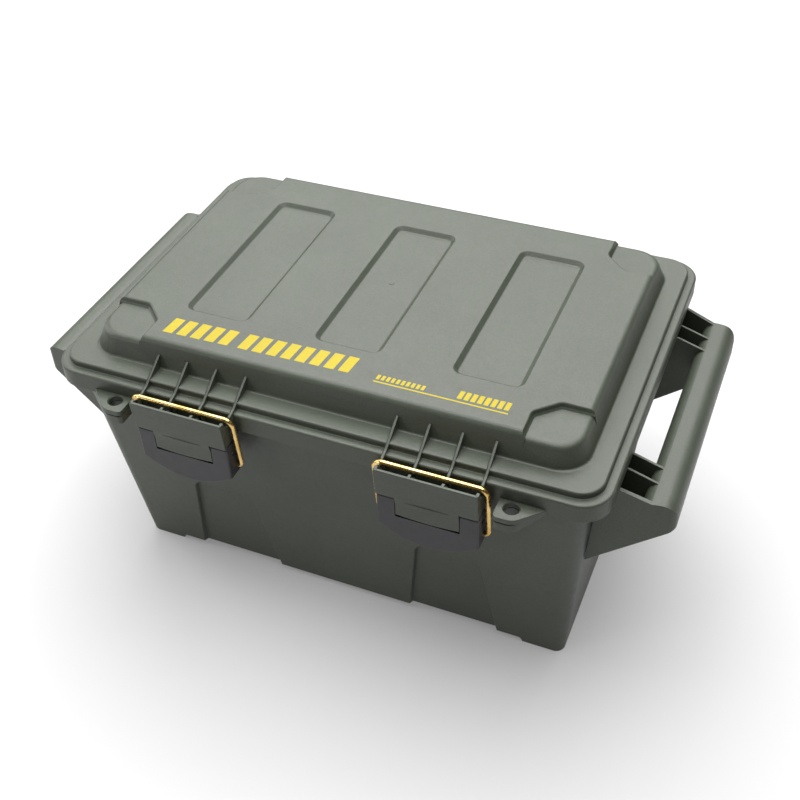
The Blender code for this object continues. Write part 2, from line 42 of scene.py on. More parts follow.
# --- sizes in millimetres -----------------------------------------------------------------------
LID_HALF_X = 178.0
LID_HALF_Y = 124.0
LID_TOP_Z = 194.0
PAD_Z = 190.3
SHELF_Z = 176.3
RIM_Z = 172.1
SKIRT_Z = 159.35
FLANGE_LOW_Z = 163.5
FLANGE_TOP_Z = 166.5
FLANGE_HALF = (174.4, 120.4)
FLANGE_CORNER_R = 17.6
TUB_FLOOR_Z = 8.0
TUB_HALF_TOP = (167.0, 115.0)
TUB_HALF_FOOT = (155.6, 92.0)
TUB_CORNER_FOOT_R = 6.5
TUB_CORNER_GAIN = 7.5
LID_WALL = 2.8
PANEL_CENTRES = (-88.4, 0.6, 89.8)
PANEL_HALF_X = 20.6
PANEL_Y = (-65.0, 67.2)
PANEL_DEPTH = 2.8
RECESS_DEPTH = 3.0
PAD_SHIFT_X = 2.4
PADLOCK_HOLE_X = 127.3
PADLOCK_HOLE_Y = -129.5
LATCH_X = {"left": -79.5, "right": 79.5}
LEVER_AXIS = (-129.0, 145.0)
BAIL_AXIS = (-125.5, 132.5)
BAIL_BAR = (-129.5, 171.8)
HINGE_AXIS = (134.75, 156.0)
LATCH_RIB_OFFSETS = (-30.0, -10.0, 10.0, 30.0)
LATCH_RIB_HALF = 0.85
KNUCKLE_R = 4.15
HINGE_BORE_R = 2.15
HINGE_PIN_R = 2.0
LEVER_BORE_R = 1.6
LEVER_PIN_R = 1.5
BAIL_BORE_R = 1.75
WIRE_R = 1.65
WIRE_TIP = 0.75
HALF_TONGUE = 19.4
HALF_LATCH = 31.2
LEVER_FACE_Y = -135.0
GUARD_TOP_Y = -137.95
GUARD_TOP_Z = 173.2
GUARD_LEAN = 0.0913
SHOULDER_R = 8.2
GRIP_X = (190.2, 211.4)
HANDLE_HALF_Y = 87.6
HANDLE_FLARE_Y = 92.6
WALL_GAP = 0.35
CORNER_STEPS = 14


# --- 2-D outlines -------------------------------------------------------------------------------
def fillet(points, closed=True, steps=5):
    """Round the corners of a polyline of (u, v, radius); a rounded corner always gives steps + 1 points."""
    out = []
    count = len(points)
    for i, (u, v, radius) in enumerate(points):
        corner = Vector((u, v))
        if radius <= 0.0 or (not closed and i in (0, count - 1)):
            out.append(corner)
            continue
        to_a = Vector(points[i - 1][:2]) - corner
        to_b = Vector(points[(i + 1) % count][:2]) - corner
        half = to_a.angle(to_b) / 2.0
        reach = min(radius / math.tan(half), 0.48 * to_a.length, 0.48 * to_b.length)
        to_a.normalize()
        to_b.normalize()
        centre = corner + (to_a + to_b).normalized() * (reach / math.cos(half))
        start = corner + to_a * reach - centre
        end = corner + to_b * reach - centre
        sweep = math.pi - 2.0 * half
        for k in range(steps + 1):
            t = k / steps
            a = math.sin((1.0 - t) * sweep) / math.sin(sweep)
            b = math.sin(t * sweep) / math.sin(sweep)
            out.append(centre + start * a + end * b)
    return out


def grown(points, distance):
    """The same (u, v, radius) outline, anticlockwise, with every side moved out by a distance."""
    out = []
    count = len(points)
    for i, (u, v, radius) in enumerate(points):
        before = Vector((u, v)) - Vector(points[i - 1][:2])
        after = Vector(points[(i + 1) % count][:2]) - Vector((u, v))
        n1 = Vector((before.y, -before.x)).normalized()
        n2 = Vector((after.y, -after.x)).normalized()
        moved = Vector((u, v)) + (n1 + n2) * (distance / (1.0 + n1.dot(n2)))
        turn = before.x * after.y - before.y * after.x
        new_radius = radius + distance if turn > 0.0 else radius - distance
        out.append((moved.x, moved.y, max(new_radius, 0.08) if radius > 0.0 else 0.0))
    return out


def arc(centre, radius, start_deg, end_deg, steps):
    out = []
    for i in range(steps + 1):
        a = math.radians(start_deg + (end_deg - start_deg) * i / steps)
        out.append((centre[0] + radius * math.cos(a), centre[1] + radius * math.sin(a)))
    return out


def plain(points, radius=0.0):
    return [(u, v, radius) for u, v in points]


def flipped(points):
    """Mirror an outline in u and keep it anticlockwise."""
    return [(-p[0], *p[1:]) for p in reversed(points)]


# --- meshes -------------------------------------------------------------------------------------
def link(name, mesh):
    obj = bpy.data.objects.new(name, mesh)
    bpy.context.scene.collection.objects.link(obj)
    return obj


def to_object(bm, name):
    bmesh.ops.recalc_face_normals(bm, faces=bm.faces)
    if bm.calc_volume(signed=True) < 0.0:
        bmesh.ops.reverse_faces(bm, faces=bm.faces)
    mesh = bpy.data.meshes.new(name)
    bm.to_mesh(mesh)
    bm.free()
    return link(name, mesh)


def skin(bm, rings, loop=False):
    """Join rings of points, in millimetres, into a closed skin with flat ends."""
    verts = [[bm.verts.new(Vector(p) * MM) for p in ring] for ring in rings]
    pairs = list(zip(verts, verts[1:]))
    if loop:
        pairs.append((verts[-1], verts[0]))
    for low, high in pairs:
        for i in range(len(low)):
            j = (i + 1) % len(low)
            bm.faces.new((low[i], low[j], high[j], high[i]))
    if not loop:
        bm.faces.new(verts[0])
        bm.faces.new(verts[-1])


def solid(name, *ring_sets):
    bm = bmesh.new()
    for rings in ring_sets:
        skin(bm, rings)
    return to_object(bm, name)


def moulded(outline, profile, place, steps=5):
    """Rings of an outline grown along a profile of (grow, w); place turns (u, v, w) into a point."""
    rings = []
    for grow, w in profile:
        rings.append([place(p.x, p.y, w) for p in fillet(grown(outline, grow), True, steps)])
    return rings


def edged(low, high, radius, steps=4):
    """A profile for a plate from w = low to high with rounded rims."""
    inner = -2.0 * radius
    points = [(inner, low, 0.0), (0.0, low, radius), (0.0, high, radius), (inner, high, 0.0)]
    path = fillet(points, False, steps)
    return [(p.x, p.y) for p in path[1:-1]]


def block(outline, axis, low, high, radius=0.4, steps=5):
    """Rings of a plate with rounded rims, across an axis; the outline uses the other two axes in order."""
    def place(u, v, w):
        point = [u, v]
        point.insert(axis, w)
        return point

    return moulded(outline, edged(low, high, radius), place, steps)


def rectangle(low, high, corner):
    """An anticlockwise outline between two corners, with the same radius at each."""
    return plain([(low[0], low[1]), (high[0], low[1]), (high[0], high[1]), (low[0], high[1])], corner)


def boxy(low, high, radius=0.5, corner=0.6):
    """Rings of an upright box between two corners."""
    return block(rectangle(low, high, corner), 2, low[2], high[2], radius)


def carve(base, *steps):
    """Apply Boolean steps of (operation, tool) in turn and drop the tools."""
    tools = []
    for operation, tool in steps:
        mod = base.modifiers.new("shape", "BOOLEAN")
        mod.operation = operation
        mod.solver = "EXACT"
        mod.object = tool
        tools.append(tool)
    graph = bpy.context.evaluated_depsgraph_get()
    mesh = bpy.data.meshes.new_from_object(base.evaluated_get(graph))
    base.modifiers.clear()
    base.data = mesh
    for tool in tools:
        bpy.data.objects.remove(tool, do_unlink=True)
    return base


# --- materials ----------------------------------------------------------------------------------
def nodes_of(name):
    mat = bpy.data.materials.new(name)
    mat.use_nodes = True
    tree = mat.node_tree
    return mat, tree, tree.nodes["Principled BSDF"]


def noise(tree, coords, scale, detail, rough=0.5):
    node = tree.nodes.new("ShaderNodeTexNoise")
    node.inputs["Scale"].default_value = scale
    node.inputs["Detail"].default_value = detail
    node.inputs["Roughness"].default_value = rough
    tree.links.new(coords, node.inputs["Vector"])
    return node.outputs["Fac"]


def ramp(tree, value, stops):
    node = tree.nodes.new("ShaderNodeValToRGB")
    node.color_ramp.elements[0].position = stops[0][0]
    node.color_ramp.elements[1].position = stops[-1][0]
    node.color_ramp.elements[0].color = (*stops[0][1], 1.0)
    node.color_ramp.elements[1].color = (*stops[-1][1], 1.0)
    tree.links.new(value, node.inputs["Fac"])
    return node.outputs["Color"]


def remap(tree, value, low, high):
    node = tree.nodes.new("ShaderNodeMapRange")
    node.inputs["From Min"].default_value = 0.3
    node.inputs["From Max"].default_value = 0.7
    node.inputs["To Min"].default_value = low
    node.inputs["To Max"].default_value = high
    tree.links.new(value, node.inputs["Value"])
    return node.outputs["Result"]


def weighted(tree, value, factor, added=None):
    """value * factor, plus another value if one is given."""
    node = tree.nodes.new("ShaderNodeMath")
    node.operation = "MULTIPLY" if added is None else "MULTIPLY_ADD"
    tree.links.new(value, node.inputs[0])
    node.inputs[1].default_value = factor
    if added is not None:
        tree.links.new(added, node.inputs[2])
    return node.outputs[0]


def bump(tree, shader, height, strength, distance_mm):
    node = tree.nodes.new("ShaderNodeBump")
    node.inputs["Strength"].default_value = strength
    node.inputs["Distance"].default_value = distance_mm * MM
    tree.links.new(height, node.inputs["Height"])
    tree.links.new(node.outputs["Normal"], shader.inputs["Normal"])


def scaled(colour, factor):
    return tuple(c * factor for c in colour)


def grained_plastic(name, colour, rough, grain_mm, bump_mm, spread=0.06, specular=0.5):
    """Moulded plastic with a fine spark-eroded grain, faint flow mottling and slightly uneven gloss."""
    mat, tree, shader = nodes_of(name)
    coords = tree.nodes.new("ShaderNodeTexCoord").outputs["Object"]
    fine = noise(tree, coords, 1000.0 / grain_mm, 3.0, 0.65)
    mid = noise(tree, coords, 240.0, 4.0)
    broad = noise(tree, coords, 22.0, 3.0)
    mottle = weighted(tree, fine, 0.6, weighted(tree, broad, 0.25, weighted(tree, mid, 0.15)))
    stops = ((0.38, scaled(colour, 1.0 - spread)), (0.62, scaled(colour, 1.0 + spread)))
    tree.links.new(ramp(tree, mottle, stops), shader.inputs["Base Color"])
    tree.links.new(remap(tree, mid, rough - 0.04, rough + 0.05), shader.inputs["Roughness"])
    shader.inputs["Specular IOR Level"].default_value = specular
    bump(tree, shader, fine, 0.55, bump_mm)
    return mat


def plated_metal(name, dark, light, rough):
    """Drawn wire with a plated coat: colour drifts slowly and fine draw marks break up the gloss."""
    mat, tree, shader = nodes_of(name)
    coords = tree.nodes.new("ShaderNodeTexCoord").outputs["Object"]
    drift = noise(tree, coords, 90.0, 3.0)
    fine = noise(tree, coords, 1400.0, 3.0)
    tree.links.new(ramp(tree, drift, ((0.35, dark), (0.65, light))), shader.inputs["Base Color"])
    shader.inputs["Metallic"].default_value = 1.0
    tree.links.new(remap(tree, fine, rough - 0.05, rough + 0.08), shader.inputs["Roughness"])
    bump(tree, shader, fine, 0.25, 0.02)
    return mat


OLIVE = grained_plastic("olive_plastic", (0.042, 0.050, 0.035), 0.46, 0.9, 0.16, 0.2)
BLACK = grained_plastic("black_plastic", (0.026, 0.025, 0.029), 0.5, 0.8, 0.12, 0.12)
ZINC = plated_metal("zinc_wire", (0.60, 0.38, 0.11), (0.84, 0.60, 0.25), 0.24)
STEEL = plated_metal("steel_pin", (0.42, 0.42, 0.43), (0.62, 0.62, 0.63), 0.34)
RUBBER = grained_plastic("rubber_seal", (0.016, 0.016, 0.016), 0.72, 0.8, 0.05)
PAINT = grained_plastic("yellow_paint", (0.36, 0.285, 0.012), 0.55, 0.8, 0.06, 0.08, 0.25)


def piece(obj, mat, body, nodes=(), sharp_deg=38.0):
    """Shade a finished mesh, give it its material and hang it on its CAD body."""
    obj.data.materials.clear()
    obj.data.materials.append(mat)
    obj.data.shade_smooth()
    obj.data.set_sharp_from_angle(angle=math.radians(sharp_deg))
    mod = obj.modifiers.new("normals", "WEIGHTED_NORMAL")
    mod.keep_sharp = True
    mod.weight = 80
    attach(obj, body)
    if nodes:
        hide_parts(*nodes)
    return obj


# --- shared rings -------------------------------------------------------------------------------
def rounded_ring(half_x, half_y, radius, z):
    out = []
    for quarter, (sx, sy) in enumerate(((1, 1), (-1, 1), (-1, -1), (1, -1))):
        for step in range(CORNER_STEPS + 1):
            a = math.radians(90.0 * quarter + 90.0 * step / CORNER_STEPS)
            x = sx * (half_x - radius) + radius * math.cos(a)
            y = sy * (half_y - radius) + radius * math.sin(a)
            out.append((x, y, z))
    return out


def lid_radius(inset):
    """The lid's corner radius in plan, for a ring that lies this far in from the rim."""
    stops = ((0.0, 19.0), (3.0, 17.95), (5.6, 14.5), (11.0, 14.5), (18.2, 18.0), (27.0, 16.0), (40.0, 12.0))
    for (a, ra), (b, rb) in zip(stops, stops[1:]):
        if inset <= b:
            return ra + (rb - ra) * (inset - a) / (b - a)
    return stops[-1][1]


def lid_rings(profile):
    path = fillet(profile, False, 5)
    return [rounded_ring(LID_HALF_X - p.x, LID_HALF_Y - p.x, lid_radius(p.x), p.y) for p in path]


def tub_half(axis, z):
    """Half the tub's outer size in x (0) or y (1) at a height, on the drafted wall."""
    foot = TUB_HALF_FOOT[axis]
    return foot + (TUB_HALF_TOP[axis] - foot) * z / SKIRT_Z


def tub_rings(profile, wider=0.0):
    """Rings on the drafted wall from (inset, z, radius); wider moves the ends out, but not the long sides."""
    path = fillet(profile, False, 5)
    rings = []
    for p in path:
        corner = max(TUB_CORNER_FOOT_R + TUB_CORNER_GAIN * p.y / FLANGE_TOP_Z - p.x * 0.6, 3.0)
        rings.append(rounded_ring(tub_half(0, p.y) - p.x + wider, tub_half(1, p.y) - p.x, corner, p.y))
    return rings


# --- lid ----------------------------------------------------------------------------------------
def platform_wall(extra, top_z):
    """The outside of the lid from the shelf up to a flat top, as (inset, z, radius)."""
    return [(18.2 + extra, SHELF_Z, 1.6), (22.6 + extra, top_z, 4.2), (44.0, top_z, 0.0)]


LID_INSIDE_AND_RIM = [
    (44.0, 186.4, 0.0), (25.8, 186.4, 3.0), (21.0, SHELF_Z - LID_WALL, 1.0), (8.4, SHELF_Z - LID_WALL, 1.5),
    (8.4, RIM_Z - LID_WALL, 1.0), (3.0, RIM_Z - LID_WALL, 1.0), (3.0, SKIRT_Z, 0.4), (0.0, SKIRT_Z, 0.7),
    (0.0, RIM_Z, 1.5), (5.6, RIM_Z, 0.7), (5.6, SHELF_Z, 1.1),
]


def flare(depth, run, low_r, high_r):
    """A cutter's profile: flat bottom, sloping wall, and a mouth that rolls out to meet the surface."""
    half = run / 2.0
    points = [(-9.0, -depth, 0.0), (-half, -depth, low_r), (half, 0.03, high_r), (half + 5.0, 0.3, 0.0)]
    return [(p.x, p.y) for p in fillet(points, False, 5)]


def on_lid(u, v, w):
    return (u, v, LID_TOP_Z + w)


def panel_cutters():
    sets = []
    for centre in PANEL_CENTRES:
        low = (centre - PANEL_HALF_X, PANEL_Y[0])
        high = (centre + PANEL_HALF_X, PANEL_Y[1])
        outline = rectangle(low, high, 5.0)
        sets.append(moulded(outline, flare(PANEL_DEPTH, 3.0, 1.8, 1.6), on_lid, 6))
    return solid("cut_panels", *sets)


def raised_block():
    """The high part of the lid's platform, cut in at its four corners for stacking."""
    lower = [(44.0, 187.5, 0.0), (26.0, 187.5, 0.0), (22.0, 183.5, 0.0), (20.6, 183.5, 0.0)]
    full = solid("raised", lid_rings(lower + [(22.6, LID_TOP_Z, 4.6), (44.0, LID_TOP_Z, 0.0)]))
    quarter = [(182.0, 70.0, 0.0), (136.5, 70.0, 4.5), (123.5, 82.5, 4.5), (123.5, 130.0, 0.0)]
    outline = quarter + flipped(quarter)
    outline += [(PAD_SHIFT_X - p[0], -p[1], p[2]) for p in quarter]
    outline += [(-p[0], -p[1], p[2]) for p in flipped(quarter)]
    points = [(1.0, 182.0, 0.0), (1.0, PAD_Z - 0.02, 0.0), (0.0, PAD_Z + 1.2, 1.0),
              (-0.8, LID_TOP_Z - 0.02, 1.7), (-9.0, LID_TOP_Z + 0.4, 0.0)]
    profile = [(p.x, p.y) for p in fillet(points, False, 5)]
    keep = solid("keep_raised", moulded(outline, profile, lambda u, v, w: (u, v, w), 6))
    return carve(full, ("INTERSECT", keep))


def latch_ribs():
    """Four thin ribs above each latch; taken clockwise, their rims stand 0.4 mm proud, not rounded."""
    outline = [(-101.5, 176.0, 0.0), (-101.5, 185.6, 0.0), (-121.6, 173.9, 3.0), (-127.5, 172.2, 0.8),
               (-127.5, 161.8, 0.8), (-122.5, 160.4, 0.5), (-122.5, 170.5, 0.0), (-116.0, 174.8, 0.0)]
    sets = []
    for label, latch in LATCH_X.items():
        shift = 1.2 if label == "left" else 0.0
        for offset in LATCH_RIB_OFFSETS:
            middle = latch + offset + shift
            sets.append(block(outline[::-1], 0, middle - LATCH_RIB_HALF, middle + LATCH_RIB_HALF, 0.4))
    return sets


def padlock_tabs(inner_y, low, high):
    """A flat tab with a slanted outer edge at each front corner."""
    outline = [(118.6, inner_y, 0.0), (118.6, -138.8, 3.0), (131.0, -138.8, 10.0), (148.3, inner_y, 0.0)]
    sets = []
    for shape in (outline, flipped(outline)):
        sets.append(block(shape, 2, low, high, 0.6, 8))
    return sets


def hole_cutters():
    sets = []
    for x in (-PADLOCK_HOLE_X, PADLOCK_HOLE_X):
        rings = []
        for radius, z in ((4.5, 149.0), (4.5, 153.0), (4.5, 162.5), (5.3, 163.4), (5.3, 170.0)):
            circle = arc((0.0, 0.0), radius, 0.0, 350.0, 35)
            rings.append([(x + dx, PADLOCK_HOLE_Y + dy, z) for dx, dy in circle])
        sets.append(rings)
    return sets


def pin_bores():
    sets = []
    for centre in LATCH_X.values():
        ring = arc(HINGE_AXIS, HINGE_BORE_R, 0.0, 345.0, 23)
        sets.append([[(centre + x, y, z) for y, z in ring] for x in (-33.0, 33.0)])
    return sets


def knuckles(outline, spans):
    sets = []
    for centre in LATCH_X.values():
        for low, high in spans:
            sets.append(block(outline, 0, centre + low, centre + high, 0.35))
    return sets


def build_lid():
    lid = solid("lid_shell", lid_rings(LID_INSIDE_AND_RIM + platform_wall(0.03, PAD_Z)))
    strip = [(-138.0, 122.5, 0.0), (138.0, 122.5, 0.0), (138.0, 126.2, 2.2), (-138.0, 126.2, 2.2)]
    rail = block(strip, 2, 161.5, RIM_Z, 0.7)
    barrel = plain(arc(HINGE_AXIS, KNUCKLE_R, 215.0, 425.0, 24))
    arms = knuckles(plain([(122.8, 168.0), (122.8, 160.0)]) + barrel, ((-17.5, -6.5), (6.5, 17.5)))
    tabs = padlock_tabs(-121.5, SKIRT_Z + 0.2, 163.2)
    return carve(
        lid,
        ("UNION", raised_block()),
        ("UNION", solid("add_rail", rail)),
        ("UNION", solid("add_fittings", *latch_ribs(), *arms, *tabs)),
        ("DIFFERENCE", panel_cutters()),
        ("DIFFERENCE", solid("cut_holes", *hole_cutters(), *pin_bores())),
    )


def gate_mark():
    """The small moulding mark in the middle panel."""
    rings = []
    for r, z in ((1.9, 190.9), (1.9, 191.32), (1.7, 191.45), (1.1, 191.45), (0.9, 191.3)):
        rings.append([(x, y + 7.0, z) for x, y in arc((0.0, 0.0), r, 0.0, 345.0, 23)])
    return solid("gate_mark", rings)


def stencil_bars():
    """Plain slanted bars in yellow paint, in place of any wording."""
    sets = []
    top, low = LID_TOP_Z + 0.06, LID_TOP_Z - 0.3

    def bar(x, y, width, height, slant):
        end = x + width
        outline = plain([(x, y), (end, y), (end + slant, y + height), (x + slant, y + height)], 0.3)
        sets.append(block(outline, 2, low, top, 0.05, 2))

    for i in range(13):
        gap = 4.0 if i > 4 else 0.0
        bar(-111.0 + 9.4 * i + gap, -92.0 + 0.3 * i, 6.6, 14.6, 1.5)
    bar(29.0, -90.4, 82.0, 1.1, 0.0)
    for i in range(10):
        bar(29.6 + 3.1 * i, -87.8, 2.0, 4.2, 0.3)
    for i in range(8):
        bar(79.4 + 4.0 * i, -87.4, 2.9, 7.0, 0.4)
    return solid("stencil_bars", *sets)


# --- tub ----------------------------------------------------------------------------------------
def recess_cutters():
    """Four shallow recesses that follow the drafted front and back walls, one below each latch and hinge."""
    outline = [(-32.5, -12.0, 0.0), (32.5, -12.0, 0.0), (20.5, 79.0, 8.0), (-20.5, 79.0, 8.0)]
    profile = flare(RECESS_DEPTH, 1.2, 1.0, 1.4)
    sets = []
    for side in (-1.0, 1.0):
        for centre in LATCH_X.values():
            def place(u, v, w, side=side, centre=centre):
                return (centre + u, side * (tub_half(1, v) + w), v)

            sets.append(moulded(outline, profile, place, 7))
    return sets


def foot_cutters():
    """The long hollow between the feet, and a shallow one under each end."""
    span = [(-131.5, -6.0, 0.0), (131.5, -6.0, 0.0), (131.5, -0.2, 0.0), (128.4, -0.02, 1.6),
            (127.0, 4.5, 2.2), (-127.0, 4.5, 2.2), (-128.4, -0.02, 1.6), (-131.5, -0.2, 0.0)]
    under = [[(p.x, y, p.y) for p in fillet(span)] for y in (-150.0, 150.0)]
    pockets = []
    for sign in (-1.0, 1.0):
        low, high = sorted((sign * 132.0, sign * 151.0))
        pockets.append(boxy((low, -85.0, -4.0), (high, 85.0, 4.0), 0.8, 4.0))
    return under, pockets


def build_tub():
    outside = [(60.0, 0.0, 0.0), (0.0, 0.0, 0.8), (0.0, FLANGE_LOW_Z, 0.5)]
    inside = [(6.2, FLANGE_TOP_Z, 0.0), (6.2, TUB_FLOOR_Z, 6.0), (60.0, TUB_FLOOR_Z, 0.0)]
    rings = tub_rings(outside)[:-1]
    rings.append(rounded_ring(tub_half(0, FLANGE_LOW_Z), tub_half(1, FLANGE_LOW_Z), 14.0, FLANGE_LOW_Z))
    rings += [rounded_ring(*FLANGE_HALF, FLANGE_CORNER_R, z) for z in (FLANGE_LOW_Z, 163.8, 166.0)]
    rings.append(rounded_ring(174.0, 120.0, 17.4, FLANGE_TOP_Z))
    rings += tub_rings(inside, 3.0)
    tub = solid("tub_shell", rings)
    barrel = plain(arc(HINGE_AXIS, KNUCKLE_R, -75.0, 145.0, 24))
    root = plain([(118.0, 158.6), (112.0, 158.6), (112.0, 146.0), (118.0, 146.0)])
    arms = knuckles(root + barrel, ((-30.0, -18.0), (-6.0, 6.0), (18.0, 30.0)))
    under, pockets = foot_cutters()
    return carve(
        tub,
        ("DIFFERENCE", solid("cut_under", under)),
        ("DIFFERENCE", solid("cut_recesses", *recess_cutters())),
        ("DIFFERENCE", solid("cut_pockets", *pockets)),
        ("UNION", solid("add_arms", *arms, *padlock_tabs(-112.5, 153.4, SKIRT_Z - 0.3))),
        ("DIFFERENCE", solid("cut_holes", *hole_cutters(), *pin_bores())),
    )


def build_gasket():
    section = [(3.2, FLANGE_TOP_Z + 0.02, 0.3), (2.8, 168.6, 0.5), (4.3, 169.15, 0.6), (5.6, 168.6, 0.5),
               (5.8, FLANGE_TOP_Z + 0.02, 0.3)]
    rings = []
    for p in fillet(section, True, 4):
        rings.append(rounded_ring(FLANGE_HALF[0] - p.x, FLANGE_HALF[1] - p.x, FLANGE_CORNER_R - p.x, p.y))
    bm = bmesh.new()
    skin(bm, rings, loop=True)
    return to_object(bm, "gasket_ring")


# --- handles ------------------------------------------------------------------------------------
def build_handle(label, sign):
    """Two tapered end plates, four ribs with floors between them, and a grip with rounded ends."""
    def sided(outline):
        return outline if sign > 0 else flipped(outline)

    inner_x, outer_x = GRIP_X
    low_x = tub_half(0, 96.0) + WALL_GAP
    high_x = tub_half(0, 158.0) + WALL_GAP
    grip = sided([(inner_x, 134.2, 2.5), (outer_x, 134.2, 2.5), (outer_x, 152.8, 9.5), (inner_x, 152.8, 9.8)])
    body = solid(f"handle_shell_{label}", block(grip, 1, -95.0, 95.0, 0.2, 10))
    plan = sided([(160.0, -HANDLE_FLARE_Y, 0.0), (outer_x, -HANDLE_HALF_Y, 5.0),
                  (outer_x, HANDLE_HALF_Y, 5.0), (160.0, HANDLE_FLARE_Y, 0.0)])
    carve(body, ("INTERSECT", solid("keep_plan", block(plan, 2, 120.0, 170.0, 0.2, 10))))
    side = sided([(low_x, 96.0, 0.0), (outer_x, 135.0, 1.5), (outer_x, 147.2, 8.0),
                  (178.5, 158.8, 1.5), (high_x, 158.8, 0.0)])
    ends = []
    for flip in (1.0, -1.0):
        strip = [(160.0, -HANDLE_FLARE_Y, 0.0), (outer_x, -HANDLE_HALF_Y, 5.0), (outer_x, -60.0, 0.0),
                 (209.0, -60.0, 0.0), (209.0, -85.2, 2.7), (160.0, -90.2, 0.0)]
        shape = [(u, flip * v, radius) for u, v, radius in strip]
        if flip * sign < 0:
            shape = shape[::-1]
        shape = [(sign * u, v, radius) for u, v, radius in shape]
        ends.append(block(shape, 2, 90.0, 165.0, 0.1, 10))
    plates = solid("add_ends", block(side, 1, -98.0, 98.0, 0.1))
    carve(plates, ("INTERSECT", solid("keep_ends", *ends)))
    rib = sided([(low_x, 98.0, 0.0), (200.0, 131.2, 0.0), (200.0, 151.2, 0.0),
                 (178.5, 158.2, 1.0), (high_x, 158.2, 0.0)])
    floor_x = low_x + 0.4
    floor = sided(plain([(floor_x, 97.3), (202.0, 129.6), (202.0, 133.2), (floor_x, 100.4)]))
    ribs = []
    for low, high in ((70.2, 72.0), (57.0, 58.9)):
        for start, end in ((low, high), (-high, -low)):
            ribs.append(block(rib, 1, start, end, 0.45))
    floors = [block(floor, 1, start, end, 0.1) for start, end in ((57.6, 88.2), (-88.2, -57.6))]
    return carve(
        body,
        ("UNION", solid("add_floors", *floors)),
        ("UNION", plates),
        ("UNION", solid("add_ribs", *ribs)),
    )


# --- latches ------------------------------------------------------------------------------------
def turned(radius_at, half_width, dx, steps=12, around=72):
    """Rings about the lever's axis, with a radius that depends on the distance from the latch's middle."""
    last_deg = 360.0 - 360.0 / around
    rings = []
    for i in range(steps + 1):
        x = -half_width + 2.0 * half_width * i / steps
        circle = arc(LEVER_AXIS, radius_at(x), 0.0, last_deg, around - 1)
        rings.append([(dx + x, y, z) for y, z in circle])
    return rings


def tongue_radius(x):
    return 9.5 - 0.8 * (x / HALF_TONGUE) ** 2


def pin_hole(axis, radius, dx, half=40.0):
    circle = arc(axis, radius, 0.0, 345.0, 23)
    return [[(dx + x, y, z) for y, z in circle] for x in (-half, half)]


def build_mount(label, dx):
    barrel = solid(f"latch_mount_shell_{label}", turned(tongue_radius, HALF_TONGUE, dx))
    face = boxy((dx - 40.0, -150.0, 120.0), (dx + 40.0, LEVER_FACE_Y, 151.0), 0.1, 0.1)
    tongue = plain([(-131.0, 143.0), (-132.8, 149.0), (-134.3, 152.4), (-136.0, 156.0), (-136.3, 154.5),
                    (-136.05, 152.4), (LEVER_FACE_Y, 147.0), (LEVER_FACE_Y, 143.0)])
    outline = [(-HALF_LATCH, 152.4, 1.2), (HALF_LATCH, 152.4, 1.2),
               (HALF_LATCH, GUARD_TOP_Z, 1.6), (-HALF_LATCH, GUARD_TOP_Z, 1.6)]

    def lean(u, v, w):
        return (dx + u, GUARD_TOP_Y + (GUARD_TOP_Z - v) * GUARD_LEAN + w, v)

    guard = moulded(outline, edged(0.0, 1.9, 0.5), lean)
    wall = -tub_half(1, 158.6) - WALL_GAP
    low_wall = -tub_half(1, 138.0) - WALL_GAP
    hook = [(wall, 158.6, 0.0), (-128.4, 158.6, 0.0), (-128.4, 166.0, 1.0), (-133.0, 168.5, 1.0),
            (-133.8, 173.0, 0.5)]
    side = [(-137.0, 173.0, 0.5), (-135.2, 154.0, 0.5), (wall, 154.0, 0.0)] + hook
    inner = [(-137.0, 173.0, 0.5), (-135.4, 153.0, 0.0), (-133.5, 146.0, 0.0), (-127.0, 144.0, 0.0),
             (-122.5, 141.0, 0.0), (low_wall, 138.0, 0.0)] + hook
    ribs = [block(side, 0, dx + x - 0.95, dx + x + 0.95, 0.3) for x in (-30.2, 30.2)]
    ribs += [block(inner, 0, dx + x - 0.9, dx + x + 0.9, 0.3) for x in (-10.0, 10.0)]
    # taken clockwise, the tongue's rims stand 0.05 mm proud
    strip = block(tongue[::-1], 0, dx - HALF_TONGUE, dx + HALF_TONGUE, 0.05)
    return carve(
        barrel,
        ("DIFFERENCE", solid("cut_face", face)),
        ("UNION", solid("add_tongue", strip)),
        ("UNION", solid("add_guard", guard)),
        ("UNION", solid("add_ribs", *ribs)),
        ("DIFFERENCE", solid("cut_bore", pin_hole(LEVER_AXIS, LEVER_BORE_R, dx))),
    )


def lever_foot(inset):
    """The lever's lower edge: a shallow curve that is deepest in the middle."""
    half = HALF_LATCH - inset
    points = []
    for i in range(25):
        x = -half + 2.0 * half * i / 24
        points.append((x, 117.0 + inset + 11.0 * (x / HALF_LATCH) ** 2))
    return points


